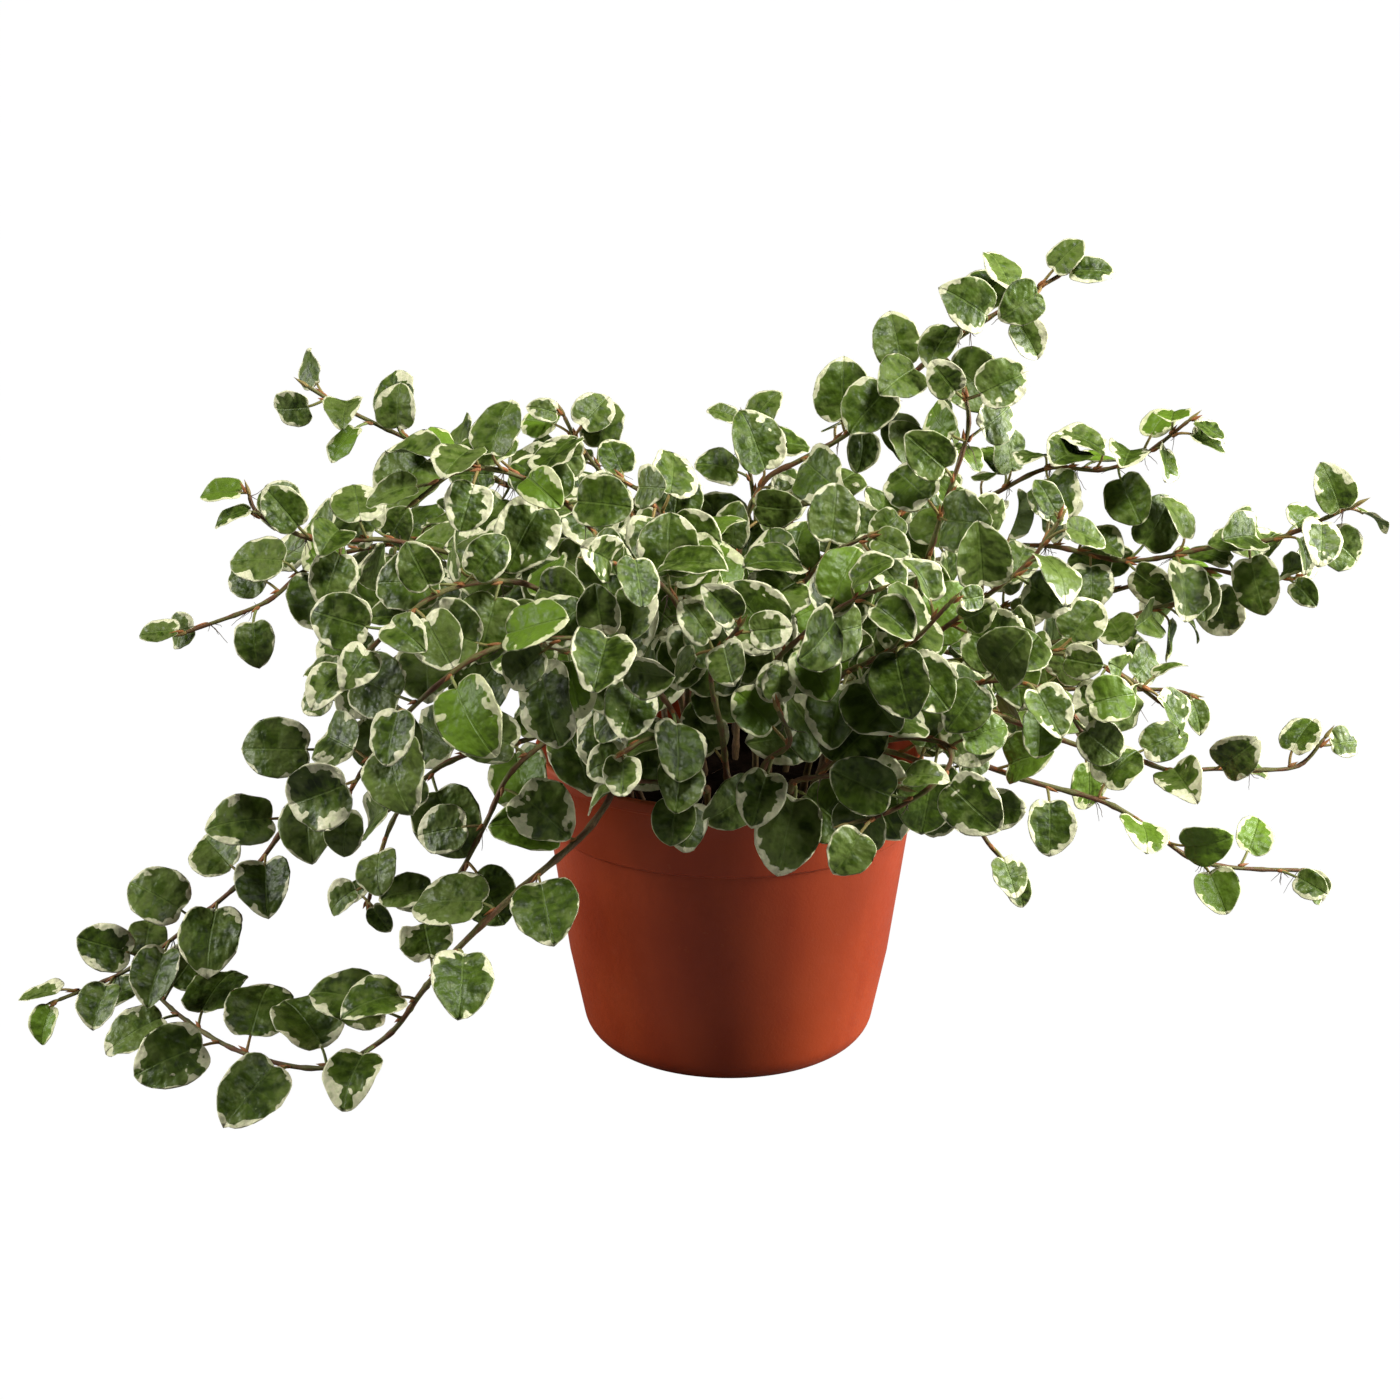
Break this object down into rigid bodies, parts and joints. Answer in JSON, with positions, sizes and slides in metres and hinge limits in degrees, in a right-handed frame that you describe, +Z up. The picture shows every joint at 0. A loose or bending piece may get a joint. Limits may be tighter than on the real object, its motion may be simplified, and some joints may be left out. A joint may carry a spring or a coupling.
{
  "type": "potted creeping fig",
  "caption": "Variegated creeping fig with round, cream-edged leaves on arching and trailing stems, rooted in peat in a tapered terracotta-coloured plastic nursery pot.",
  "frame": {"origin": "middle of the pot's underside, on the surface that the pot stands on", "axes": "+Z up along the pot's axis, +X along the plant's long way to the right as the front is seen, -Y the front"},
  "size_m": [0.4302, 0.2729, 0.2528],
  "materials": {
    "pot": "satin, faintly mottled terracotta-coloured plastic",
    "soil": "dark, damp, crumbly peat",
    "foliage": "satin green leaves with grey-green patches and an uneven cream margin, on olive to brown stems"
  },
  "bodies": {
    "root": {"pot": "pot", "soil": "soil", "left_floor": "foliage", "left_long": "foliage", "left_cut": "foliage", "left_high": "foliage", "right_long": "foliage", "right_lowest": "foliage", "right_low": "foliage", "right_tip": "foliage", "right_dark": "foliage", "right_back": "foliage", "right_rise": "foliage", "right_inner": "foliage", "left_drop": "foliage", "left_under": "foliage", "left_side": "foliage", "left_front": "foliage", "left_mid": "foliage", "left_low": "foliage", "crown_left": "foliage", "crown_mid": "foliage", "crown_front": "foliage", "crown_right": "foliage", "front_big": "foliage", "right_rim": "foliage", "right_drop": "foliage", "right_crowd": "foliage", "right_front": "foliage", "right_fan": "foliage", "right_edge": "foliage", "right_mid": "foliage", "right_light": "foliage", "right_thin": "foliage", "front_left": "foliage", "front_rim": "foliage", "front_mid": "foliage", "front_right": "foliage", "front_spill_left": "foliage", "front_spill_right": "foliage", "front_high": "foliage", "back_left": "foliage", "back_far_left": "foliage", "back_mid": "foliage", "back_right": "foliage"}
  },
  "joints": []
}
